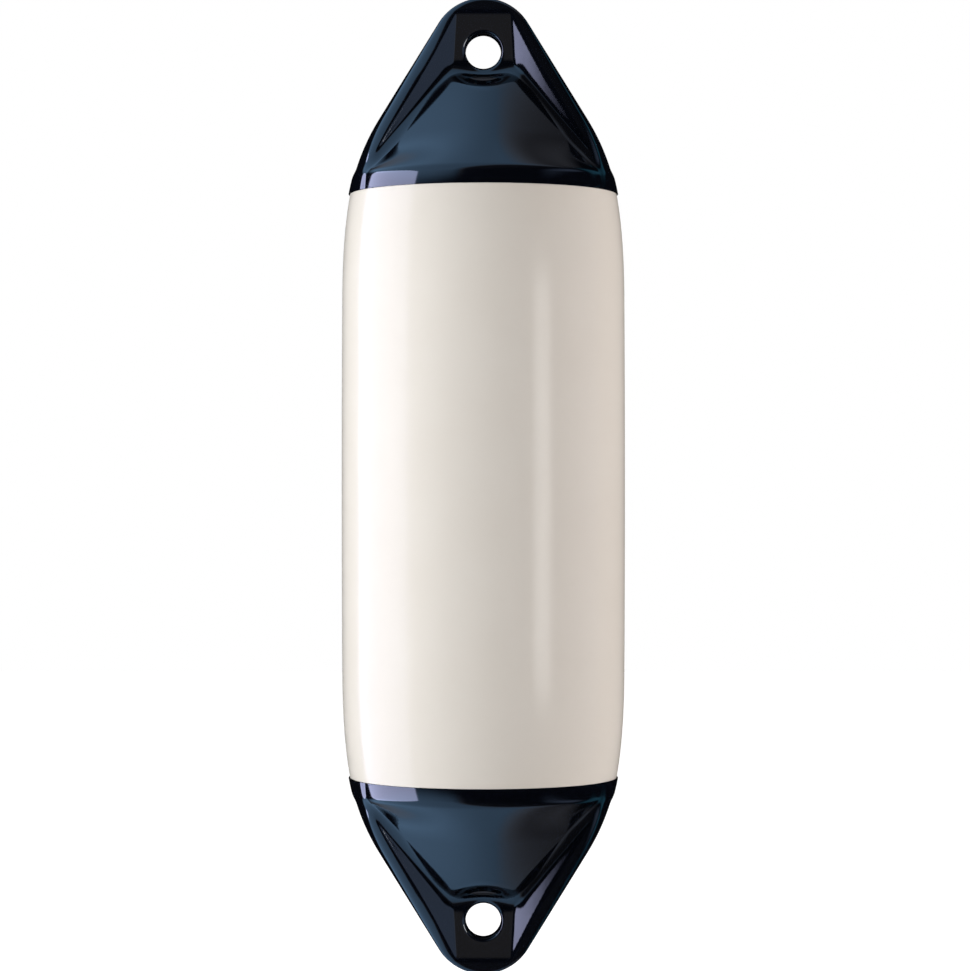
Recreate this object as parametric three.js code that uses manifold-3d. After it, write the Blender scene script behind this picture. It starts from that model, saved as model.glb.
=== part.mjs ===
// A twin-eye boat fender: a round, air-filled vinyl body closed at both ends by a moulded rope eye.
// Millimetres. +Z runs up the fender's axis, the origin is at its middle, and both eyes open along Y.

import * as THREE from 'three';
import { mergeVertices } from 'three/addons/utils/BufferGeometryUtils.js';
import { ConvexGeometry } from 'three/addons/geometries/ConvexGeometry.js';
import Module from 'manifold-3d';

// Whole fender
const fenderLength = 758; // tip to tip
const seamGap = 0.3; // between two pieces that are welded or screwed together

// White body
const bodyLength = 452.4; // between the two welds
const bodyRadius = 110; // at mid-length
const shoulderRadius = 109.6; // where the barrel turns into the shoulder
const shoulderLength = 85; // along the axis, from the weld to the barrel
const jointRadius = 103.5; // at the weld, on body and ends alike
const jointTaper = 10.5; // degrees, the side's lean where body and end meet

// Outline of an end, seen from the front
const eyeRimRadius = 41; // the round tip
const flankAngle = 31.6; // degrees from the axis, the straight flanks below the tip
const flankFoot = 58; // height above the weld where the flanks start to curve in to the body

// Dome between the two side ribs
const domeWallHeight = 12.5; // steep wall that continues the body
const domeSlope = 45; // degrees from the axis, the cone above that wall
const domeEdge = 6; // length that the rounded edge takes from wall and cone
const domeCrest = 87; // height of the dome's top edge, below the eye
const domeCrestWidth = 86; // side to side at that height, where front to back it is a plain cone
const flareFoot = 28; // height where the dome starts to grow wider than deep
const crestScoopRadius = 54; // hollow curve of the top edge round the eye
const crestScoopDraft = 14; // degrees, the hollow opens towards front and back

// Side ribs and the pockets between them
const ribTipThickness = 21; // front to back, at the tip
const ribEyeThickness = 37.5; // beside the eye
const ribRootThickness = 98; // at the weld
const plateThickness = 20; // flat plate round the eye
const pocketTipWidth = 42; // floor of the pocket at the tip
const pocketEyeWidth = 48.5; // floor of the pocket beside the eye
const pocketKneeDrop = 12; // below the eye, where the pocket starts to widen quickly
const pocketDraft = 58; // degrees, the lean of the ribs' inner walls
const grooveFoot = 26; // height where the groove beside the dome runs out
const grooveFootWidth = 170; // between the two ribs there
const grooveFootFloor = 83; // front to back between the two groove floors there

// Rope eye
const holeRadius = 13.75;
const holeDrop = 1; // the hole sits this much below the centre of the round tip
const holeEdgeRadius = 2.5;

// Inflation valve, let into the back of the upper dome
const valveHeight = 40; // above the weld, where its axis leaves the cone
const valveFlangeRadius = 14;
const valveFlangeThickness = 3;
const valveStemRadius = 9;
const valveStemLength = 16;
const valveRecess = 2.6; // from the cone's surface to the flange's face
const plugHeadRadius = 7.5;
const plugHeadThickness = 2;
const plugStemRadius = 4;
const plugStemLength = 9;
const coinSlotWidth = 2;
const coinSlotDepth = 1.2;

// Facets
const roundSteps = 60;
const holeSteps = 32;
const curveSteps = 4;
const flareRows = 6; // rows of facets up the dome's cone
const cutterReach = 140; // how far cutters run past the end's surface

const radians = THREE.MathUtils.degToRad;
const endHeight = (fenderLength - bodyLength) / 2 - seamGap;
const eyeHeight = endHeight - eyeRimRadius;
const holeHeight = eyeHeight - holeDrop;

const whiteVinyl = new THREE.MeshStandardMaterial({ color: 0xeeebe4, roughness: 0.22, metalness: 0 });
const navyVinyl = new THREE.MeshStandardMaterial({ color: 0x0f1a33, roughness: 0.16, metalness: 0 });
const blackNylon = new THREE.MeshStandardMaterial({ color: 0x1c1d1f, roughness: 0.45, metalness: 0 });

const wasm = await Module();
wasm.setup();

// Turns a closed geometry into a solid that can be joined and cut.
function toSolid(geometry) {
  geometry.deleteAttribute('normal');
  geometry.deleteAttribute('uv');
  const merged = mergeVertices(geometry, 1e-4);
  const corners = merged.index.array;
  const triangles = [];
  for (let i = 0; i < corners.length; i += 3) {
    const [a, b, c] = corners.slice(i, i + 3);
    if (a !== b && b !== c && c !== a) triangles.push(a, b, c);
  }
  return new wasm.Manifold(new wasm.Mesh({
    numProp: 3,
    vertProperties: Float32Array.from(merged.attributes.position.array),
    triVerts: Uint32Array.from(triangles),
  }));
}

// Turns a solid back into a named mesh.
function toMesh(name, solid, material) {
  const { vertProperties, triVerts } = solid.getMesh();
  const geometry = new THREE.BufferGeometry();
  geometry.setAttribute('position', new THREE.BufferAttribute(vertProperties, 3));
  geometry.setIndex(new THREE.BufferAttribute(triVerts, 1));
  geometry.computeVertexNormals();
  const mesh = new THREE.Mesh(geometry, material);
  mesh.name = name;
  return mesh;
}

// A solid of revolution about Z. The profile runs upwards, as (radius, height), from axis to axis.
function turned(profile, steps) {
  const geometry = new THREE.LatheGeometry(profile, steps);
  return geometry.rotateX(Math.PI / 2);
}

// White body: a barrel with a slight crown and a rounded shoulder at each weld.
function makeBody() {
  const halfLength = bodyLength / 2;
  const shoulderTop = halfLength - shoulderLength;
  const controlDrop = (shoulderRadius - jointRadius) / Math.tan(radians(jointTaper));
  const side = new THREE.Path();
  side.moveTo(jointRadius, -halfLength);
  side.quadraticCurveTo(shoulderRadius, controlDrop - halfLength, shoulderRadius, -shoulderTop);
  side.quadraticCurveTo(2 * bodyRadius - shoulderRadius, 0, shoulderRadius, shoulderTop);
  side.quadraticCurveTo(shoulderRadius, halfLength - controlDrop, jointRadius, halfLength);
  const profile = [
    new THREE.Vector2(0, -halfLength),
    ...side.getPoints(curveSteps),
    new THREE.Vector2(0, halfLength),
  ];
  return toSolid(turned(profile, roundSteps));
}

// One side of the end's outline, from the weld to the tip, as (radius, height).
function endOutline() {
  const flank = radians(flankAngle);
  const rimX = eyeRimRadius * Math.cos(flank);
  const rimZ = eyeHeight + eyeRimRadius * Math.sin(flank);
  const flankX = (height) => rimX + (rimZ - height) * Math.tan(flank);
  const taper = Math.tan(radians(jointTaper));
  const controlZ = (flankX(0) - jointRadius) / (Math.tan(flank) - taper);
  const side = new THREE.Path();
  side.moveTo(jointRadius, 0);
  side.quadraticCurveTo(jointRadius - controlZ * taper, controlZ, flankX(flankFoot), flankFoot);
  side.lineTo(rimX, rimZ);
  side.absarc(0, eyeHeight, eyeRimRadius, flank, Math.PI / 2, false);
  return side.getPoints(curveSteps + 2);
}

// The end's outer form: its outline turned about the axis, kept only where the ribs are thick.
function makeRibs() {
  const envelope = toSolid(turned([new THREE.Vector2(0, 0), ...endOutline()], roundSteps));
  const reach = cutterReach;
  const corners = [];
  for (const side of [-1, 1]) {
    for (const wall of [-1, 1]) {
      corners.push(new THREE.Vector3(side * reach, wall * ribRootThickness / 2, 0));
      corners.push(new THREE.Vector3(side * reach, wall * ribEyeThickness / 2, eyeHeight));
      corners.push(new THREE.Vector3(side * reach, wall * ribTipThickness / 2, endHeight));
    }
  }
  const slab = toSolid(new ConvexGeometry(corners));
  return envelope.intersect(slab);
}

// A cutter between two stations of a pocket: floor width and depth at two heights, drafted walls.
function pocketCutter(face, stations) {
  const draft = Math.tan(radians(pocketDraft));
  const corners = [];
  for (const { height, halfWidth, floor } of stations) {
    for (const depth of [floor, cutterReach]) {
      const x = halfWidth + (depth - floor) * draft;
      corners.push(new THREE.Vector3(-x, face * depth, height), new THREE.Vector3(x, face * depth, height));
    }
  }
  return toSolid(new ConvexGeometry(corners));
}

// Cuts the pocket round the eye and the grooves that run from it down beside the dome.
function cutPockets(ribs) {
  const knee = holeHeight - pocketKneeDrop;
  const widening = (grooveFootWidth - pocketEyeWidth) / 2 / (knee - grooveFoot);
  const plateFace = plateThickness / 2;
  const stations = [
    { height: endHeight + seamGap, halfWidth: pocketTipWidth / 2, floor: plateFace },
    { height: knee, halfWidth: pocketEyeWidth / 2, floor: plateFace },
    { height: domeCrest, halfWidth: pocketEyeWidth / 2 + (knee - domeCrest) * widening, floor: plateFace },
    { height: grooveFoot, halfWidth: grooveFootWidth / 2, floor: grooveFootFloor / 2 },
  ];
  let cut = ribs;
  for (const face of [-1, 1]) {
    for (let i = 0; i + 1 < stations.length; i += 1) {
      cut = cut.subtract(pocketCutter(face, stations.slice(i, i + 2)));
    }
  }
  return cut;
}

// Radius of the dome's cone at a height above the weld, front to back.
function coneRadius(height) {
  const wallTop = jointRadius - domeWallHeight * Math.tan(radians(jointTaper));
  return wallTop - (height - domeWallHeight) * Math.tan(radians(domeSlope));
}

// Dome: a short wall and a cone, wider than deep towards the top, scooped out round the eye.
function makeDome() {
  const taper = radians(jointTaper);
  const slope = radians(domeSlope);
  const cornerRadius = coneRadius(domeWallHeight);
  const domeTop = (domeCrest + holeHeight) / 2;
  const side = new THREE.Path();
  side.moveTo(jointRadius, 0);
  side.lineTo(cornerRadius + domeEdge * Math.sin(taper), domeWallHeight - domeEdge * Math.cos(taper));
  side.quadraticCurveTo(
    cornerRadius, domeWallHeight,
    cornerRadius - domeEdge * Math.sin(slope), domeWallHeight + domeEdge * Math.cos(slope),
  );
  for (let row = 0; row <= flareRows; row += 1) {
    const height = flareFoot + (row / flareRows) * (domeTop - flareFoot);
    side.lineTo(coneRadius(height), height);
  }
  side.lineTo(0, domeTop);
  const dome = turned([new THREE.Vector2(0, 0), ...side.getPoints(curveSteps)], roundSteps);
  const point = dome.attributes.position;
  for (let i = 0; i < point.count; i += 1) {
    const height = point.getZ(i);
    const rise = Math.max(height - flareFoot, 0) / (domeCrest - flareFoot);
    const widening = (domeCrestWidth / 2 - coneRadius(domeCrest)) * rise * rise;
    point.setX(i, point.getX(i) * (1 + widening / coneRadius(height)));
  }
  const draft = Math.tan(radians(crestScoopDraft));
  const scoopRadius = (depth) => crestScoopRadius + (depth - coneRadius(domeCrest)) * draft;
  const scoop = new THREE.LatheGeometry([
    new THREE.Vector2(0, -cutterReach),
    new THREE.Vector2(scoopRadius(cutterReach), -cutterReach),
    new THREE.Vector2(scoopRadius(0), 0),
    new THREE.Vector2(scoopRadius(cutterReach), cutterReach),
    new THREE.Vector2(0, cutterReach),
  ], roundSteps);
  scoop.translate(0, 0, domeCrest + crestScoopRadius);
  return toSolid(dome).subtract(toSolid(scoop));
}

// Cutter of the rope eye along Y: a straight bore with a rounded edge at both faces of the plate.
function makeHoleCutter() {
  const plateFace = plateThickness / 2;
  const mouth = plateFace + seamGap;
  const mouthRadius = holeRadius + holeEdgeRadius;
  const side = new THREE.Path();
  side.moveTo(mouthRadius, -mouth);
  side.lineTo(mouthRadius, -plateFace);
  side.absarc(mouthRadius, holeEdgeRadius - plateFace, holeEdgeRadius, 1.5 * Math.PI, Math.PI, true);
  side.absarc(mouthRadius, plateFace - holeEdgeRadius, holeEdgeRadius, Math.PI, 0.5 * Math.PI, true);
  side.lineTo(mouthRadius, mouth);
  const profile = [new THREE.Vector2(0, -mouth), ...side.getPoints(curveSteps), new THREE.Vector2(0, mouth)];
  const bore = new THREE.LatheGeometry(profile, holeSteps);
  return toSolid(bore.translate(0, 0, holeHeight));
}

// Puts a geometry turned about Z on the valve's axis: square to the cone, at the back of the dome.
function onValveAxis(geometry) {
  geometry.rotateX(radians(domeSlope) - Math.PI / 2);
  return geometry.translate(0, coneRadius(valveHeight), valveHeight);
}

// Stepped disc of revolution about Z: rings of [radius, bottom, top], widest first or last.
function stepped(rings) {
  const profile = [new THREE.Vector2(0, rings[0][1])];
  for (const [radius, bottom, top] of rings) {
    profile.push(new THREE.Vector2(radius, bottom), new THREE.Vector2(radius, top));
  }
  profile.push(new THREE.Vector2(0, rings[rings.length - 1][2]));
  return turned(profile, holeSteps);
}

// Heights along the valve's axis, from the cone's surface outwards.
const flangeTop = -valveRecess;
const flangeBottom = flangeTop - valveFlangeThickness;
const stemBottom = flangeBottom - valveStemLength;
const plugSeat = flangeTop - plugHeadThickness;

function makeValveSeatCutter() {
  return toSolid(onValveAxis(stepped([
    [valveStemRadius + seamGap, stemBottom - seamGap, flangeBottom - seamGap],
    [valveFlangeRadius + seamGap, flangeBottom - seamGap, cutterReach / 2],
  ])));
}

function makeValveBody() {
  const blank = toSolid(onValveAxis(stepped([
    [valveStemRadius, stemBottom, flangeBottom],
    [valveFlangeRadius, flangeBottom, flangeTop],
  ])));
  const socket = toSolid(onValveAxis(stepped([
    [plugStemRadius + seamGap, plugSeat - plugStemLength - 2 * seamGap, plugSeat - seamGap],
    [plugHeadRadius + seamGap, plugSeat - seamGap, flangeTop + seamGap],
  ])));
  return blank.subtract(socket);
}

function makeValvePlug() {
  const blank = toSolid(onValveAxis(stepped([
    [plugStemRadius, plugSeat - plugStemLength, plugSeat],
    [plugHeadRadius, plugSeat, flangeTop],
  ])));
  const slot = new THREE.BoxGeometry(3 * plugHeadRadius, coinSlotWidth, 2 * coinSlotDepth);
  return blank.subtract(toSolid(onValveAxis(slot.translate(0, 0, flangeTop))));
}

// One end, standing on its weld plane with the eye at the top.
function makeEnd() {
  return cutPockets(makeRibs()).add(makeDome()).subtract(makeHoleCutter());
}

const group = new THREE.Group();
group.add(toMesh('body', makeBody(), whiteVinyl));

const end = makeEnd();
const upper = new THREE.Group();
upper.position.z = bodyLength / 2 + seamGap;
upper.add(toMesh('upper_end', end.subtract(makeValveSeatCutter()), navyVinyl));
upper.add(toMesh('valve_body', makeValveBody(), blackNylon));
upper.add(toMesh('valve_plug', makeValvePlug(), blackNylon));
group.add(upper);

const lowerEnd = toMesh('lower_end', end, navyVinyl);
lowerEnd.position.z = -upper.position.z;
lowerEnd.rotation.y = Math.PI;
group.add(lowerEnd);

export default group;
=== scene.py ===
import math

import bmesh
import bpy
import numpy as np
from mathutils import Matrix, Vector


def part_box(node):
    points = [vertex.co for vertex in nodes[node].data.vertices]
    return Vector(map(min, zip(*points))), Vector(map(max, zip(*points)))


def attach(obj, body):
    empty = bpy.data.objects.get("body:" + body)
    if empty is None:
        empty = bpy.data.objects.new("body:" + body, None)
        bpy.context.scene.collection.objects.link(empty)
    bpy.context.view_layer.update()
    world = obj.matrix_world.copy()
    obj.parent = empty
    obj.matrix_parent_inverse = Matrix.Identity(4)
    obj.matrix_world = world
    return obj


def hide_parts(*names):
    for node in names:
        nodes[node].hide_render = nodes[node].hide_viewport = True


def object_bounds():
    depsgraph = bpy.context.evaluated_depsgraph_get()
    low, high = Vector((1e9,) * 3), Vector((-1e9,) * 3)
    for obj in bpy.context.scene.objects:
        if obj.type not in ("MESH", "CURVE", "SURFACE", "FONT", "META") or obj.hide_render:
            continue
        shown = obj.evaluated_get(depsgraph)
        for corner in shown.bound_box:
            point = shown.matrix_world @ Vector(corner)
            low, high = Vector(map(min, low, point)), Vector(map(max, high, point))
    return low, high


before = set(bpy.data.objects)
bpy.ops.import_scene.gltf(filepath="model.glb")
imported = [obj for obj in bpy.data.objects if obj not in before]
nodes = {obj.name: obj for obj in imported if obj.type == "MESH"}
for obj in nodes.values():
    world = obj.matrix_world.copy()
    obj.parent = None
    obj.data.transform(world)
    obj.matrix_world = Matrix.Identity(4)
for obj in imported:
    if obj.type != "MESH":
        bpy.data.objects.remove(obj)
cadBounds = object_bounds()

mm = 0.001
mergeDistance = 0.001 * mm
weldReach = 0.1 * mm     # body and ends each reach this far into the gap at the weld
print("frame loaded:", ", ".join(sorted(nodes)))


# sRGB hex to the linear colour that a shader takes
def linear(hexColour):
    channels = [int(hexColour[i:i + 2], 16) / 255 for i in (1, 3, 5)]
    return [c / 12.92 if c <= 0.04045 else ((c + 0.055) / 1.055) ** 2.4 for c in channels] + [1.0]


# adds a node; an input is given by name, as a value or as another node's output
def addNode(tree, kind, inputs=None, **settings):
    node = tree.nodes.new(kind)
    for name, value in settings.items():
        setattr(node, name, value)
    for name, value in (inputs or {}).items():
        if isinstance(value, bpy.types.NodeSocket):
            tree.links.new(value, node.inputs[name])
        else:
            node.inputs[name].default_value = value
    return node


# a new material with an empty tree
def newMaterial(name):
    material = bpy.data.materials.new(name)
    material.use_nodes = True
    material.node_tree.nodes.clear()
    return material, material.node_tree


# makes an object of a bmesh, shaded smooth up to a crease angle
def newPiece(name, bm, material, crease=40):
    mesh = bpy.data.meshes.new(name)
    bm.to_mesh(mesh)
    bm.free()
    mesh.shade_smooth()
    mesh.set_sharp_from_angle(angle=math.radians(crease))
    mesh.materials.append(material)
    piece = bpy.data.objects.new(name, mesh)
    bpy.context.collection.objects.link(piece)
    return piece


# turns a profile of (radius, height) in metres into a closed solid about Z
def turned(profile, steps):
    bm = bmesh.new()
    points = [bm.verts.new((radius, 0, height)) for radius, height in profile]
    edges = [bm.edges.new(pair) for pair in zip(points, points[1:])]
    bmesh.ops.spin(bm, geom=points + edges, cent=(0, 0, 0), axis=(0, 0, 1), angle=2 * math.pi,
                   steps=steps, use_merge=True, use_duplicate=False)
    bmesh.ops.remove_doubles(bm, verts=bm.verts, dist=mergeDistance)
    bmesh.ops.recalc_face_normals(bm, faces=bm.faces)
    return bm


# points of a quadratic curve from start to end, without the start
def curvePoints(start, control, end, steps):
    start, control, end = Vector(start), Vector(control), Vector(end)
    for step in range(1, steps + 1):
        t = step / steps
        yield tuple((1 - t) ** 2 * start + 2 * t * (1 - t) * control + t * t * end)


# Materials

look = {
    "whiteLight": "#F0EADF", "whiteDark": "#ECE5D9",  # warm white pigment, uneven by a shade
    "navyLight": "#070A12", "navyDark": "#06080E",    # nearly black, the blue comes with the light
    "nylon": "#1B1C1E",
    "whiteRoughness": 0.16, "navyRoughness": 0.06, "nylonRoughness": 0.38,
    "whiteGloss": 0.11, "navyGloss": 0.5, "nylonGloss": 0.5,
    "ior": 1.54,               # PVC, and near enough nylon
    "cloudSize": 60,           # mm between the pigment's shades
    "peelSize": 9,             # mm between the swells of the orange peel
    "peelHeight": 0.012, "navyPeelHeight": 0.006,  # mm
    "scuffSize": 0.7,          # mm, fine handling marks, drawn as coarse as they need to show
    "scuffRange": (0.9, 1.15),  # shares of the roughness, least and most scuffed
}


# moulded plastic: soft PVC comes out glossy and nylon duller, with a faint orange peel and no grain
def mouldedPlastic(name, light, dark, roughness, peelHeight, gloss):
    material, tree = newMaterial(name)
    place = addNode(tree, "ShaderNodeTexCoord").outputs["Object"]
    clouds = addNode(tree, "ShaderNodeTexNoise",
                     {"Vector": place, "Scale": 1 / (look["cloudSize"] * mm), "Detail": 2.0})
    tone = addNode(tree, "ShaderNodeMix", {"Factor": clouds.outputs["Fac"]}, data_type="RGBA")
    tone.inputs["A"].default_value = linear(dark)
    tone.inputs["B"].default_value = linear(light)
    scuffs = addNode(tree, "ShaderNodeTexNoise",
                     {"Vector": place, "Scale": 1 / (look["scuffSize"] * mm), "Detail": 3.0})
    least, most = look["scuffRange"]
    dullness = addNode(tree, "ShaderNodeMapRange", {
        "Value": scuffs.outputs["Fac"], "From Min": 0.3, "From Max": 0.7,
        "To Min": roughness * least, "To Max": roughness * most})
    peel = addNode(tree, "ShaderNodeTexNoise",
                   {"Vector": place, "Scale": 1 / (look["peelSize"] * mm), "Detail": 1.0})
    bump = addNode(tree, "ShaderNodeBump", {
        "Height": peel.outputs["Fac"], "Distance": peelHeight * mm, "Strength": 1.0})
    skin = addNode(tree, "ShaderNodeBsdfPrincipled", {
        "Base Color": tone.outputs["Result"], "Roughness": dullness.outputs["Result"],
        "IOR": look["ior"], "Specular IOR Level": gloss, "Normal": bump.outputs["Normal"]})
    addNode(tree, "ShaderNodeOutputMaterial", {"Surface": skin.outputs["BSDF"]})
    return material


whiteVinyl = mouldedPlastic("white vinyl, blow moulded", look["whiteLight"], look["whiteDark"],
                            look["whiteRoughness"], look["peelHeight"], look["whiteGloss"])
navyVinyl = mouldedPlastic("navy vinyl, injection moulded", look["navyLight"], look["navyDark"],
                           look["navyRoughness"], look["navyPeelHeight"], look["navyGloss"])
blackNylon = mouldedPlastic("black nylon, injection moulded", look["nylon"], look["nylon"],
                            look["nylonRoughness"], look["peelHeight"], look["nylonGloss"])
print("materials made")

# White body

bodyShape = {
    "shoulderRadius": 109.6,   # mm, where the barrel turns into the shoulder
    "shoulderLength": 85,
    "jointRadius": 103.5,      # at the weld
    "jointTaper": 10.5,        # degrees, lean of the side at the weld
    "edgeRound": 0.5,          # soft lip beside the weld
    "edgeLean": 0.1,           # share of that round by which the lip's foot stands out
    "steps": 224, "shoulderRows": 30, "barrelRows": 24, "edgeRows": 4,
}


def makeBody():
    shape = bodyShape
    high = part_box("body")[1]
    half = high[2] + weldReach
    joint, shoulder = shape["jointRadius"] * mm, shape["shoulderRadius"] * mm
    lip = shape["edgeRound"] * mm
    drop = (shoulder - joint) / math.tan(math.radians(shape["jointTaper"]))
    top = half - shape["shoulderLength"] * mm
    belly = 2 * high[0] - shoulder
    upper = [(shoulder, top)]
    upper += curvePoints((shoulder, top), (shoulder, half - drop), (joint, half), shape["shoulderRows"])
    upper[-1] = (upper[-1][0] + lip * shape["edgeLean"], half - lip)
    upper += curvePoints(upper[-1], (joint, half), (joint - lip, half), shape["edgeRows"])
    lower = [(radius, -height) for radius, height in reversed(upper)]
    barrel = list(curvePoints((shoulder, -top), (belly, 0), (shoulder, top), shape["barrelRows"]))[:-1]
    profile = [(0, -half)] + lower + barrel + upper + [(0, half)]
    return newPiece("fenderBody", turned(profile, shape["steps"]), whiteVinyl)


fenderBody = makeBody()
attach(fenderBody, "root")
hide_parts("body")
print("white body made")

# Navy ends: each starts as its CAD solid, remeshed finely, and is then drawn onto a smooth surface.
# Lengths in mm; height is measured from the weld towards the tip, front and back are alike.

endShape = {
    # outline from the front: weld, round tip and straight flanks; tapers, slopes and drafts in degrees
    "jointRadius": bodyShape["jointRadius"], "jointTaper": bodyShape["jointTaper"],
    "rimRadius": 41, "flankAngle": 31.6, "flankFoot": 58,
    # dome between the ribs: wall, cone, the roof that the cone turns into, and the hollow under the eye
    "wallHeight": 12.5, "domeSlope": 45, "domeCrest": 87,
    "domeSideFoot": 96, "domeSideLean": 35, "domeNose": 25, "domeTuck": 6, "roofStart": 12, "roofEnd": 45,
    "scoopRadius": 54, "scoopDraft": 14,
    # thickness front to back of the side ribs and of the plate round the eye
    "ribTip": 14, "ribEye": 37.5, "ribRoot": 98, "plate": 20,
    # pocket round the eye, and the grooves that run down from it beside the dome
    "pocketTip": 41, "pocketEye": 47, "kneeDrop": 12, "draft": 58,
    "grooveFoot": 26, "grooveFootWidth": 170, "grooveFootFloor": 83,
    "holeRadius": 13.75, "holeDrop": 1,
    # rounds and fillets
    "ribRound": 9, "tipRound": 3, "pocketRound": 4, "pocketCorner": 3, "wallRound": 8,
    "crestRound": 60, "grooveRound": 4, "holeRound": 3,
    # blends where two slopes meet at a shallow angle, the floor's as a share of its fall
    "ribBlend": 2, "pocketBlend": 5, "floorBlend": 0.08,
    # faces that lean along the fender too: how much faster than the distance their measure grows
    "ribStretch": 1.02, "pocketStretch": 1.15,
    # angle between the two faces at a rib's edge, in degrees
    "ribEdgeTurn": 75,
    # least values, which keep the dome's formula sound above its crest
    "leastRadius": 5, "leastSide": 20, "leastFall": 0.5,
    # valve seat, from the cone's surface inwards along the valve's axis
    "valveHeight": 40, "flangeSeatRadius": 14.3, "flangeSeatDepth": 5.9,
    "stemBoreRadius": 9.3, "stemBoreDepth": 22.2, "seatRound": 0.8,
    # mesh: size of the voxels, length added below the weld, and rounds of fitting and smoothing
    "voxel": 1.1, "skirt": 6, "footBand": 0.1,
    "fitRounds": 6, "smoothRounds": 3, "refitRounds": 3, "smoothing": 0.5, "longestStep": 2,
    "leastSlope": 0.05,
}


# crossing of two distances with a round of a true radius; turn is the angle from face to face, in degrees
def roundBoth(first, second, radius, turn=90):
    fold = math.cos(math.radians(turn))
    u, v = first + radius, second + radius
    reach = np.sqrt(np.maximum(u * u + v * v - 2 * u * v * fold, 0)) / math.sqrt(1 - fold * fold)
    onArc = (u > v * fold) & (v > u * fold)
    return np.where(onArc, reach - radius, np.maximum(first, second))


# joining of two distances, with a fillet of a true radius
def roundEither(first, second, radius, turn=90):
    return -roundBoth(-first, -second, radius, turn)


# larger of two values, blended within a width
def softMax(first, second, width):
    mix = np.clip(0.5 + 0.5 * (first - second) / width, 0, 1)
    return second + (first - second) * mix + width * mix * (1 - mix)


# distance from the outline of the end turned about its axis
def envelopeDistance(radius, height, tall):
    shape = endShape
    flank, taper = math.radians(shape["flankAngle"]), math.tan(math.radians(shape["jointTaper"]))
    eye = tall - shape["rimRadius"]
    rimX, rimZ = shape["rimRadius"] * math.cos(flank), eye + shape["rimRadius"] * math.sin(flank)
    rim = np.hypot(radius, height - eye) - shape["rimRadius"]
    side = (radius - rimX) * math.cos(flank) + (height - rimZ) * math.sin(flank)
    onRim = (height - rimZ) * math.cos(flank) - (radius - rimX) * math.sin(flank) > 0
    # shoulder: the quadratic curve between weld and flank, solved for its parameter
    flankX = rimX + rimZ * math.tan(flank)
    controlZ = (flankX - shape["jointRadius"]) / (math.tan(flank) - taper)
    controlX = shape["jointRadius"] - controlZ * taper
    footZ = shape["flankFoot"]
    footX = flankX - footZ * math.tan(flank)
    low = np.maximum(height, -shape["skirt"])
    root = np.sqrt(np.maximum(controlZ ** 2 + (footZ - 2 * controlZ) * low, 0))
    t = low / (controlZ + root)
    curve = (1 - t) ** 2 * shape["jointRadius"] + 2 * t * (1 - t) * controlX + t * t * footX
    rise = 2 * (1 - t) * controlZ + 2 * t * (footZ - controlZ)
    run = 2 * (1 - t) * (controlX - shape["jointRadius"]) + 2 * t * (footX - controlX)
    shoulder = (radius - curve) * rise / np.hypot(rise, run)
    return np.where(height < footZ, shoulder, np.where(onRim, rim, side))


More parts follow.
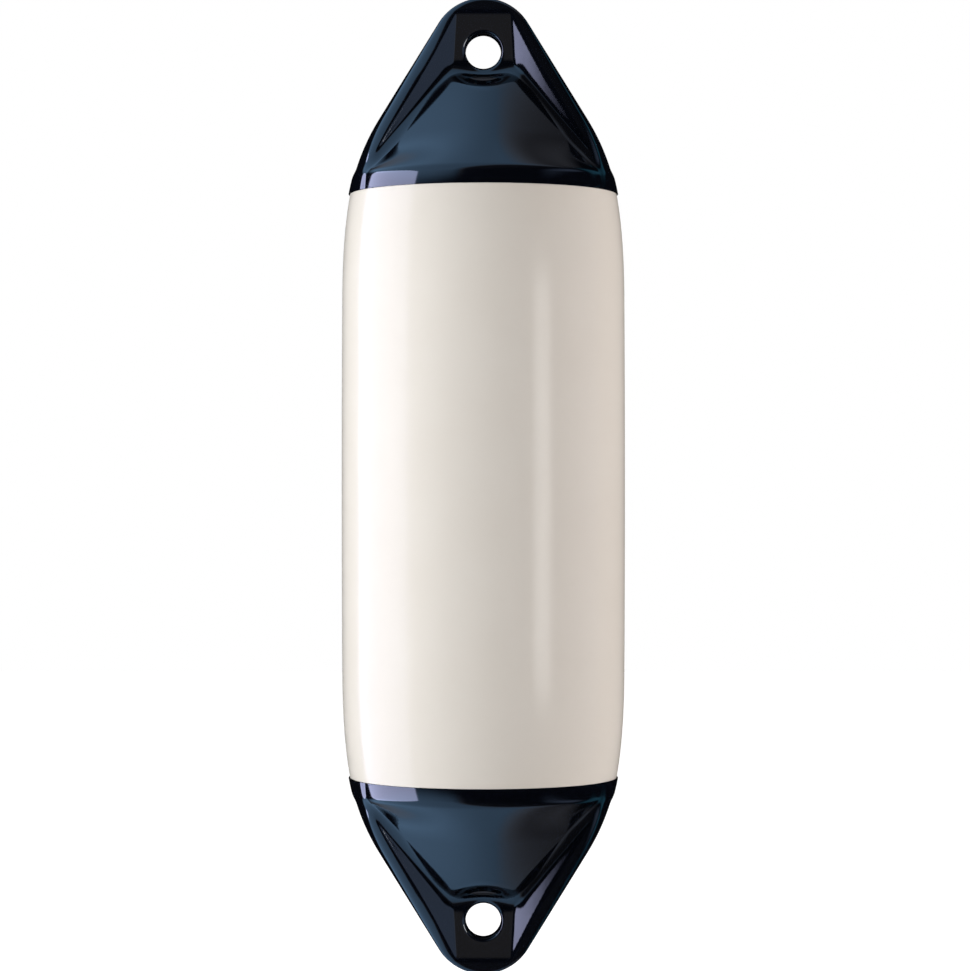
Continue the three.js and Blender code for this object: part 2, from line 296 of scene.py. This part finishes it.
# distance from the finished surface of an end, below 0 inside it
def endDistance(points, tall):
    shape = endShape
    across, deep, height = np.abs(points[:, 0]), np.abs(points[:, 1]), points[:, 2]
    hole = tall - shape["rimRadius"] - shape["holeDrop"]
    envelope = envelopeDistance(np.hypot(across, deep), height, tall)

    # side ribs: the outline kept where the ribs are thick
    eye = tall - shape["rimRadius"]
    fromRoot = shape["ribRoot"] / 2 + (shape["ribEye"] - shape["ribRoot"]) / 2 * height / eye
    fromTip = shape["ribTip"] / 2 + (shape["ribEye"] - shape["ribTip"]) / 2 * (tall - height) / (tall - eye)
    thickness = -softMax(-fromRoot, -fromTip, shape["ribBlend"])
    tipward = np.clip((height - eye) / (tall - eye), 0, 1)
    edge = shape["ribRound"] + (shape["tipRound"] - shape["ribRound"]) * tipward
    ribs = roundBoth(envelope, (deep - thickness) / shape["ribStretch"], edge, shape["ribEdgeTurn"])

    # pocket round the eye and grooves beside the dome
    lean = math.tan(math.radians(shape["draft"]))
    plateFace = shape["plate"] / 2
    knee = hole - shape["kneeDrop"]
    widening = (shape["pocketTip"] - shape["pocketEye"]) / (tall - knee)
    besideTip = (shape["pocketEye"] + widening * (height - knee)) / 2
    grooveFall = (knee - height) / (knee - shape["grooveFoot"])
    besideDome = (shape["pocketEye"] + (shape["grooveFootWidth"] - shape["pocketEye"]) * grooveFall) / 2
    down = softMax(grooveFall, 0, shape["floorBlend"])
    floor = plateFace + (shape["grooveFootFloor"] / 2 - plateFace) * down
    beside = softMax(besideTip, besideDome, shape["pocketBlend"])
    wall = (across - beside - (deep - floor) * lean) / math.hypot(shape["pocketStretch"], lean)
    lift = 90 - shape["draft"]
    pocket = roundBoth(wall, floor - deep, shape["pocketCorner"], lift)
    ribs = roundBoth(ribs, -pocket, shape["pocketRound"], lift)

    # dome: a cone that turns into a roof with a round nose and reaches the grooves, scooped out round the eye
    radius = np.maximum(coneRadius(height), shape["leastRadius"])
    sideLean = math.tan(math.radians(shape["domeSideLean"]))
    side = np.maximum(shape["domeSideFoot"] - height * sideLean, shape["leastSide"])
    nose = shape["domeNose"]
    fall = np.maximum(radius - floor, shape["leastFall"]) / (np.hypot(side, nose) - nose)
    roof = deep - radius + fall * (np.hypot(across, nose) - nose)
    roof = np.maximum(roof, across - side - shape["domeTuck"])
    mix = np.clip((height - shape["roofStart"]) / (shape["roofEnd"] - shape["roofStart"]), 0, 1)
    mix = mix * mix * (3 - 2 * mix)
    cone = (1 - mix) * (np.hypot(across, deep) - radius) + mix * roof
    cone = cone * math.cos(math.radians(shape["domeSlope"]))
    scoopLean = math.tan(math.radians(shape["scoopDraft"]))
    opening = shape["scoopRadius"] + (deep - coneRadius(shape["domeCrest"])) * scoopLean
    scoop = np.hypot(across, height - shape["domeCrest"] - shape["scoopRadius"]) - opening
    scoop = scoop * math.cos(math.radians(shape["scoopDraft"]))
    dome = roundBoth(cone, envelope, shape["wallRound"], shape["domeSlope"] - shape["jointTaper"])
    dome = roundBoth(dome, -scoop, shape["crestRound"], 90 - shape["domeSlope"] - shape["scoopDraft"])

    whole = roundEither(ribs, dome, shape["grooveRound"])
    bore = np.hypot(across, height - hole) - shape["holeRadius"]
    return roundBoth(whole, -bore, shape["holeRound"])


# radius of the dome's cone at a height
def coneRadius(height):
    shape = endShape
    wallTop = shape["jointRadius"] - shape["wallHeight"] * math.tan(math.radians(shape["jointTaper"]))
    return wallTop - (height - shape["wallHeight"]) * math.tan(math.radians(shape["domeSlope"]))


# distance from the end that also has the valve's seat, in the cone's back
def valvedDistance(points, tall):
    shape = endShape
    slope = math.radians(shape["domeSlope"])
    fromSeat = points - np.array([0, coneRadius(shape["valveHeight"]), shape["valveHeight"]])
    outward = fromSeat @ np.array([0, math.cos(slope), math.sin(slope)])
    sideways = np.sqrt(np.maximum((fromSeat ** 2).sum(axis=1) - outward ** 2, 0))
    flange = np.maximum(sideways - shape["flangeSeatRadius"], -shape["flangeSeatDepth"] - outward)
    stem = np.maximum(sideways - shape["stemBoreRadius"], -shape["stemBoreDepth"] - outward)
    return roundBoth(endDistance(points, tall), -np.minimum(flange, stem), shape["seatRound"])


# slope of a distance, by small steps along each axis
def distanceSlope(distance, points, tall, step=0.02):
    slopes = np.empty_like(points)
    for axis in range(3):
        shift = np.zeros(3)
        shift[axis] = step
        slopes[:, axis] = (distance(points + shift, tall) - distance(points - shift, tall)) / (2 * step)
    return slopes


# moves points onto the surface
def drawToSurface(distance, points, tall, rounds):
    longest, gentlest = endShape["longestStep"], endShape["leastSlope"]
    for _ in range(rounds):
        slopes = distanceSlope(distance, points, tall)
        size = np.maximum((slopes ** 2).sum(axis=1), gentlest)
        step = distance(points, tall) / size
        points = points - slopes * np.clip(step, -longest, longest)[:, None]
    return points


# a mesh's points as an array
def readPoints(mesh):
    flat = np.empty(len(mesh.vertices) * 3)
    mesh.vertices.foreach_get("co", flat)
    return flat.reshape(-1, 3)


# toLocal takes the node to the end's own frame: weld at height 0, tip upwards
def makeEnd(name, nodeName, toLocal, distance):
    shape = endShape
    low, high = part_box(nodeName)
    tall = (high[2] - low[2]) / mm
    # a copy of the CAD solid in the end's own frame, its foot lengthened past the weld
    mesh = nodes[nodeName].data.copy()
    mesh.transform(toLocal)
    bm = bmesh.new()
    bm.from_mesh(mesh)
    bmesh.ops.remove_doubles(bm, verts=bm.verts, dist=mergeDistance)
    for vert in bm.verts:
        if vert.co.z < shape["footBand"] * mm:
            vert.co.z -= shape["skirt"] * mm
    bm.to_mesh(mesh)
    bm.free()
    rough = bpy.data.objects.new("rough", mesh)
    bpy.context.collection.objects.link(rough)
    remesh = rough.modifiers.new("voxels", "REMESH")
    remesh.mode = "VOXEL"
    remesh.voxel_size = shape["voxel"] * mm
    graph = bpy.context.evaluated_depsgraph_get()
    shell = bpy.data.meshes.new_from_object(rough.evaluated_get(graph))
    bpy.data.objects.remove(rough)

    points = drawToSurface(distance, readPoints(shell) / mm, tall, shape["fitRounds"])
    bm = bmesh.new()
    bm.from_mesh(shell)
    for _ in range(shape["smoothRounds"]):
        for vert, point in zip(bm.verts, points):
            vert.co = point
        bmesh.ops.smooth_vert(bm, verts=bm.verts, factor=shape["smoothing"],
                              use_axis_x=True, use_axis_y=True, use_axis_z=True)
        points = np.array([vert.co for vert in bm.verts])
        points = drawToSurface(distance, points, tall, shape["refitRounds"])
    for vert, point in zip(bm.verts, points):
        vert.co = point * mm
    # cut square at the weld and closed with a flat face
    everything = list(bm.verts) + list(bm.edges) + list(bm.faces)
    bmesh.ops.bisect_plane(bm, geom=everything, plane_co=(0, 0, -weldReach), plane_no=(0, 0, 1),
                           dist=mergeDistance, clear_inner=True)
    bmesh.ops.edgeloop_fill(bm, edges=[edge for edge in bm.edges if edge.is_boundary])
    bmesh.ops.recalc_face_normals(bm, faces=bm.faces)
    bmesh.ops.transform(bm, matrix=toLocal.inverted(), verts=bm.verts)
    return newPiece(name, bm, navyVinyl, crease=60)


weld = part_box("upper_end")[0][2]
stand = Matrix.Translation((0, 0, -weld))
turn = stand @ Matrix.Rotation(math.pi, 4, "Y")
endPieces = [("upperEnd", "upper_end", stand, valvedDistance), ("lowerEnd", "lower_end", turn, endDistance)]
for name, nodeName, toLocal, distance in endPieces:
    end = makeEnd(name, nodeName, toLocal, distance)
    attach(end, "root")
    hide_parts(nodeName)
    print(name, "made:", len(end.data.polygons), "faces")

# Valve, let into the back of the upper dome; heights run outwards from the cone's surface

valveShape = {
    "recess": 2.6,             # mm, from the cone to the flange's face
    "flangeRadius": 14, "flangeThickness": 3,
    "stemRadius": 9, "stemLength": 16,
    "grooveInner": 10.4, "grooveOuter": 11.8, "grooveDepth": 0.4,
    "headRadius": 7.5, "headThickness": 2,
    "plugStemRadius": 4, "plugStemLength": 9,
    "slotWidth": 2, "slotDepth": 1.2,
    "gap": 0.3, "chamfer": 0.4, "steps": 96,
}


# turns a profile in mm about the valve's axis
def makeValvePart(name, profile, cutter=None):
    shape = endShape
    bm = turned([(radius * mm, height * mm) for radius, height in profile], valveShape["steps"])
    piece = newPiece(name, bm, blackNylon)
    if cutter:
        slot = piece.modifiers.new("slot", "BOOLEAN")
        slot.object = cutter
        slot.solver = "EXACT"
        graph = bpy.context.evaluated_depsgraph_get()
        mesh = bpy.data.meshes.new_from_object(piece.evaluated_get(graph))
        piece.modifiers.clear()
        piece.data = mesh
        bpy.data.objects.remove(cutter)
    foot = Matrix.Translation((0, coneRadius(shape["valveHeight"]) * mm, weld + shape["valveHeight"] * mm))
    piece.data.transform(foot @ Matrix.Rotation(math.radians(shape["domeSlope"] - 90), 4, "X"))
    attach(piece, "root")
    return piece


def makeValve():
    shape = valveShape
    edge, gap = shape["chamfer"], shape["gap"]
    flange, stem = shape["flangeRadius"], shape["stemRadius"]
    head, screw = shape["headRadius"], shape["plugStemRadius"]
    inner, outer = shape["grooveInner"], shape["grooveOuter"]
    top = -shape["recess"]
    grooveBottom = top - shape["grooveDepth"]
    flangeBottom = top - shape["flangeThickness"]
    stemBottom = flangeBottom - shape["stemLength"]
    seat = top - shape["headThickness"]
    screwBottom = seat - shape["plugStemLength"]
    socketBottom = screwBottom - 2 * gap
    body = makeValvePart("valveBody", [
        (0, stemBottom), (stem - edge, stemBottom), (stem, stemBottom + edge), (stem, flangeBottom),
        (flange - edge, flangeBottom), (flange, flangeBottom + edge), (flange, top - edge),
        (flange - edge, top), (outer, top), (outer, grooveBottom), (inner, grooveBottom), (inner, top),
        (head + gap + edge, top), (head + gap, top - edge), (head + gap, seat - gap),
        (screw + gap, seat - gap), (screw + gap, socketBottom), (0, socketBottom)])
    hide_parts("valve_body")

    # coin slot across the plug's head
    bm = bmesh.new()
    bmesh.ops.create_cube(bm, size=1)
    size = (4 * head * mm, shape["slotWidth"] * mm, 2 * shape["slotDepth"] * mm)
    bmesh.ops.scale(bm, vec=size, verts=bm.verts)
    bmesh.ops.translate(bm, vec=(0, 0, top * mm), verts=bm.verts)
    cutter = newPiece("slotCutter", bm, blackNylon)
    plug = makeValvePart("valvePlug", [
        (0, screwBottom), (screw - edge, screwBottom), (screw, screwBottom + edge), (screw, seat),
        (head - edge, seat), (head, seat + edge), (head, top - edge), (head - edge, top), (0, top)], cutter)
    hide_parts("valve_plug")


makeValve()
print("valve made")

# Studio: angles go round the fender, 0 at the camera and 90 at the right

studio = {
    "distance": 2527,          # mm from the fender's axis to the camera
    "lens": 120.5, "sensor": 36,
    "aside": 1.3, "rise": 0.3,  # mm, camera off the axis and above the middle
    "floorDrop": 110,          # mm below the lower tip
    "floorSize": 6,            # m
    "paper": "#E6E6E6",
    "ambient": "#5F5C57",      # what diffuse rays meet
}

# lamps at the height of the fender's middle, in metres and watts: the first and the last only light the
# surfaces, the other two only show in them
lamps = {
    "softbox": {"angle": -60, "distance": 1.6, "width": 1.55, "tall": 2.1, "power": 40.5,
                "colour": "#F7F9FF", "sheen": False},
    "softboxSheen": {"angle": -90, "distance": 1.6, "width": 1.786, "tall": 2.4, "power": 86,
                     "colour": "#CED4FF", "light": False, "fade": 0.035},
    "strip": {"angle": 47, "distance": 1.8, "width": 0.45, "tall": 0.66, "power": 9,
              "colour": "#FFFFFF", "light": False},
    "fill": {"angle": 84, "distance": 2.2, "width": 2, "tall": 2, "power": 47,
             "colour": "#FFFAFC", "sheen": False},
}

# what mirrored rays meet, by the direction they go: right, back and steep are that direction's parts;
# a pair says at which of its values a thing starts and at which it is full
mirrored = {
    "dark": "#08080A",
    # sky overhead: brighter to the left, dimmer behind at the right, dark in front
    "skyBlue": "#9ECEFF", "skyGrey": "#F2F2FF", "skyStrength": 1.3, "blueness": 1.5,
    "skyRise": (0.52, 0.66), "skyTilt": -0.2,
    "skyMiddle": 0.82, "skyFall": -0.55,
    "dimRight": (0.4, 1.2), "dimBack": 1.8, "dimTo": 0.15,
    "skyFront": (0.6, 0.3), "frontLevel": 0.04,
    # room behind the camera
    "room": "#828080", "roomBack": (-0.8, -0.95), "roomRise": (0.3, 0.1),
    # dim panel at the right, with a flap above it at its far side
    "panel": "#B4D0FF", "panelStrength": 0.8,
    "panelRight": (0.2, 0.45), "panelBack": (0.4, 0.1), "panelRise": (0.34, 0.18),
    "flapRight": (0.68, 0.85), "flapFoot": (0.42, 0.54), "flapTop": (0.8, 0.62), "flapLevel": 0.7,
    # teal curtain behind at the right
    "curtain": "#3A7C98", "curtainRight": (0.5, 0.65), "curtainBack": (0.35, 0.5),
    "curtainRise": (0.3, 0.4),
}


def makeCamera():
    camera = bpy.data.objects.new("camera", bpy.data.cameras.new("camera"))
    bpy.context.collection.objects.link(camera)
    camera.data.lens = studio["lens"]
    camera.data.sensor_width = studio["sensor"]
    camera.location = (studio["aside"] * mm, -studio["distance"] * mm, studio["rise"] * mm)
    camera.rotation_euler = (math.pi / 2, 0, 0)
    bpy.context.scene.camera = camera


# white paper: it shines for the camera only, and lets mirrored rays through to the studio's dark
def makeFloor():
    bm = bmesh.new()
    bmesh.ops.create_grid(bm, x_segments=1, y_segments=1, size=studio["floorSize"])
    bmesh.ops.translate(bm, verts=bm.verts, vec=(0, 0, cadBounds[0].z - studio["floorDrop"] * mm))
    material, tree = newMaterial("white paper sweep")
    path = addNode(tree, "ShaderNodeLightPath")
    paper = addNode(tree, "ShaderNodeBsdfDiffuse", {"Color": linear(studio["paper"])})
    glow = addNode(tree, "ShaderNodeEmission", {"Color": (1, 1, 1, 1), "Strength": 1.0})
    clear = addNode(tree, "ShaderNodeBsdfTransparent")
    shining = addNode(tree, "ShaderNodeAddShader")
    tree.links.new(paper.outputs["BSDF"], shining.inputs[0])
    tree.links.new(glow.outputs["Emission"], shining.inputs[1])
    seen = addNode(tree, "ShaderNodeMixShader", {"Fac": path.outputs["Is Camera Ray"]})
    tree.links.new(paper.outputs["BSDF"], seen.inputs[1])
    tree.links.new(shining.outputs["Shader"], seen.inputs[2])
    sheet = addNode(tree, "ShaderNodeMixShader", {"Fac": path.outputs["Is Glossy Ray"]})
    tree.links.new(seen.outputs["Shader"], sheet.inputs[1])
    tree.links.new(clear.outputs["BSDF"], sheet.inputs[2])
    addNode(tree, "ShaderNodeOutputMaterial", {"Surface": sheet.outputs["Shader"]})
    floor = newPiece("floor", bm, material)


# an area light that looks at the fender's axis; its sheen and its light can be set apart, and its sides
# fade over a share of its width
def addLight(name, angle, distance, width, tall, power, colour, sheen=True, light=True, fade=0):
    data = bpy.data.lights.new(name, "AREA")
    data.shape = "RECTANGLE"
    data.size, data.size_y = width, tall
    data.energy = power
    data.color = linear(colour)[:3]
    lamp = bpy.data.objects.new(name, data)
    bpy.context.collection.objects.link(lamp)
    turnBy = math.radians(angle)
    lamp.location = (distance * math.sin(turnBy), -distance * math.cos(turnBy), 0)
    lamp.rotation_mode = "QUATERNION"
    lamp.rotation_quaternion = Vector((-lamp.location.x, -lamp.location.y, 0)).to_track_quat("-Z", "Y")
    lamp.visible_glossy = sheen
    lamp.visible_diffuse = light
    if fade:
        data.use_nodes = True
        tree = data.node_tree
        tree.nodes.clear()
        place = addNode(tree, "ShaderNodeNewGeometry").outputs["Parametric"]
        across = addNode(tree, "ShaderNodeSeparateXYZ", {"Vector": place}).outputs["X"]
        inward = reckon(tree, "MINIMUM", across, reckon(tree, "SUBTRACT", 1.0, across))
        glow = addNode(tree, "ShaderNodeEmission", {"Strength": ramp(tree, inward, 0, fade)})
        addNode(tree, "ShaderNodeOutputLight", {"Surface": glow.outputs["Emission"]})


# smooth step of a value from 0 at the start to 1 at the end
def ramp(tree, value, start, end):
    node = addNode(tree, "ShaderNodeMapRange", {"Value": value, "From Min": start, "From Max": end},
                   interpolation_type="SMOOTHSTEP")
    return node.outputs["Result"]


# one arithmetic step on numbers or other nodes' outputs
def reckon(tree, operation, *values):
    return addNode(tree, "ShaderNodeMath", dict(enumerate(values)), operation=operation).outputs["Value"]


# product of several values
def product(tree, first, *others):
    for other in others:
        first = reckon(tree, "MULTIPLY", first, other)
    return first


# a colour scaled by a value
def tinted(tree, colour, value):
    scaled = addNode(tree, "ShaderNodeVectorMath", {0: colour, "Scale": value}, operation="SCALE")
    return scaled.outputs["Vector"]


def mirroredSky(tree, right, back, steep):
    view = mirrored
    leftward = reckon(tree, "MULTIPLY_ADD", right, view["skyFall"], view["skyMiddle"])
    start, full = view["dimRight"]
    dimming = addNode(tree, "ShaderNodeMapRange", {
        "Value": reckon(tree, "MULTIPLY_ADD", back, view["dimBack"], right),
        "From Min": start, "From Max": full, "To Min": 1.0, "To Max": view["dimTo"]},
        interpolation_type="SMOOTHSTEP").outputs["Result"]
    frontward = ramp(tree, reckon(tree, "SUBTRACT", right, back), *view["skyFront"])
    level = product(tree, leftward, dimming, reckon(tree, "MAXIMUM", frontward, view["frontLevel"]))
    blueShare = reckon(tree, "MULTIPLY", level, view["blueness"])
    colour = addNode(tree, "ShaderNodeMix", {"Factor": blueShare}, data_type="RGBA")
    colour.inputs["A"].default_value = linear(view["skyGrey"])
    colour.inputs["B"].default_value = linear(view["skyBlue"])
    rise = ramp(tree, reckon(tree, "MULTIPLY_ADD", right, view["skyTilt"], steep), *view["skyRise"])
    return tinted(tree, colour.outputs["Result"], product(tree, level, rise, view["skyStrength"]))


def mirroredRoom(tree, right, back, steep):
    view = mirrored
    level = product(tree, ramp(tree, back, *view["roomBack"]), ramp(tree, steep, *view["roomRise"]))
    return tinted(tree, linear(view["room"])[:3], level)


def mirroredPanel(tree, right, back, steep):
    view = mirrored
    place = product(tree, ramp(tree, right, *view["panelRight"]), ramp(tree, back, *view["panelBack"]))
    flap = product(tree, ramp(tree, right, *view["flapRight"]), ramp(tree, steep, *view["flapFoot"]),
                   ramp(tree, steep, *view["flapTop"]), view["flapLevel"])
    upright = reckon(tree, "MAXIMUM", ramp(tree, steep, *view["panelRise"]), flap)
    return tinted(tree, linear(view["panel"])[:3], product(tree, place, upright, view["panelStrength"]))


def mirroredCurtain(tree, right, back, steep):
    view = mirrored
    level = product(tree, ramp(tree, right, *view["curtainRight"]), ramp(tree, back, *view["curtainBack"]),
                    ramp(tree, steep, *view["curtainRise"]))
    return tinted(tree, linear(view["curtain"])[:3], level)


# the studio for mirrored rays, an even ambient light for diffuse ones and white for the camera
def makeWorld():
    world = bpy.data.worlds.new("studio")
    world.use_nodes = True
    bpy.context.scene.world = world
    tree = world.node_tree
    tree.nodes.clear()
    direction = addNode(tree, "ShaderNodeTexCoord").outputs["Generated"]
    way = addNode(tree, "ShaderNodeSeparateXYZ", {"Vector": direction})
    right, back = way.outputs["X"], way.outputs["Y"]
    steep = reckon(tree, "ABSOLUTE", way.outputs["Z"])
    reflected = linear(mirrored["dark"])[:3]
    for makePart in (mirroredSky, mirroredRoom, mirroredPanel, mirroredCurtain):
        parts = {0: reflected, 1: makePart(tree, right, back, steep)}
        reflected = addNode(tree, "ShaderNodeVectorMath", parts, operation="ADD").outputs["Vector"]
    path = addNode(tree, "ShaderNodeLightPath")
    forGloss = addNode(tree, "ShaderNodeMix", {"Factor": path.outputs["Is Glossy Ray"]}, data_type="RGBA")
    forGloss.inputs["A"].default_value = linear(studio["ambient"])
    tree.links.new(reflected, forGloss.inputs["B"])
    forCamera = addNode(tree, "ShaderNodeMix", {"Factor": path.outputs["Is Camera Ray"]}, data_type="RGBA")
    tree.links.new(forGloss.outputs["Result"], forCamera.inputs["A"])
    forCamera.inputs["B"].default_value = (1, 1, 1, 1)
    sheet = addNode(tree, "ShaderNodeBackground", {"Color": forCamera.outputs["Result"], "Strength": 1.0})
    addNode(tree, "ShaderNodeOutputWorld", {"Surface": sheet.outputs["Background"]})


makeCamera()
makeFloor()
for name, lamp in lamps.items():
    addLight(name, **lamp)
makeWorld()
bpy.context.scene.view_settings.view_transform = "Standard"
print("studio made")
